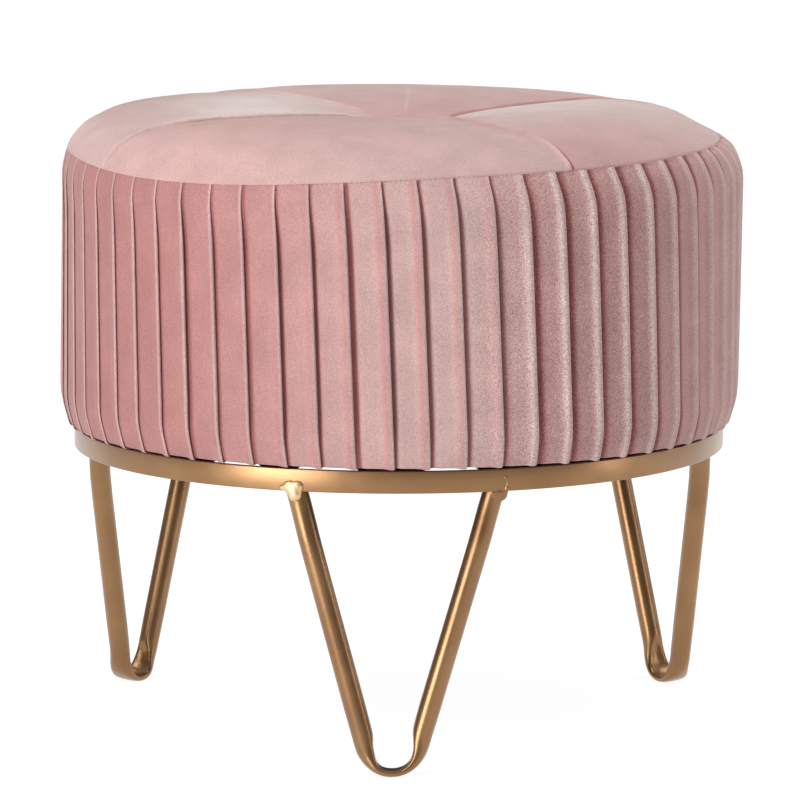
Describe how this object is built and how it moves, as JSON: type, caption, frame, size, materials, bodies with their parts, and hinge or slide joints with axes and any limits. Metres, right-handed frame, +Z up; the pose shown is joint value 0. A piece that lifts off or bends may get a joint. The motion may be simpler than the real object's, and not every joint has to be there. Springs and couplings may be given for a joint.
{
  "type": "ottoman",
  "caption": "Round upholstered ottoman: velvet seat with tufted four-panel top and knife-pleated side on a gold metal hoop with bent-tube V legs.",
  "frame": {"origin": "on the floor, under the middle of the seat", "axes": "+Z up; -Y is the front, where one leg stands; +X is to the right as seen from the front"},
  "size_m": [0.4088, 0.4092, 0.3714],
  "materials": {
    "gold_paint": "satin champagne gold paint",
    "velvet": "dusty pink velvet",
    "plywood": "raw plywood",
    "wall_board": "raw fibreboard",
    "foam": "open-cell foam",
    "zinc": "zinc plated",
    "rubber": "matt black",
    "dust_cloth": "black non-woven cloth",
    "twine": "waxed twine"
  },
  "bodies": {
    "root": {"ring": "gold_paint", "leg_front": "gold_paint", "leg_back_right": "gold_paint", "leg_back_left": "gold_paint", "leg_welds": "gold_paint", "mount_tab_1": "gold_paint", "mount_tab_2": "gold_paint", "mount_tab_3": "gold_paint", "tab_welds": "gold_paint", "bolts": "zinc", "washers": "zinc", "spacers": "rubber", "t_nuts": "zinc", "base_board": "plywood", "post_1": "plywood", "post_2": "plywood", "post_3": "plywood", "post_4": "plywood", "post_5": "plywood", "post_6": "plywood", "top_board": "plywood", "frame_screws": "zinc", "side_wall": "wall_board", "side_foam": "foam", "top_foam": "foam", "top_panel_1": "velvet", "top_panel_2": "velvet", "top_panel_3": "velvet", "top_panel_4": "velvet", "pleated_band": "velvet", "tuft_button": "velvet", "twine": "twine", "twine_washer": "zinc", "dust_cover": "dust_cloth", "staples": "zinc"}
  },
  "joints": []
}
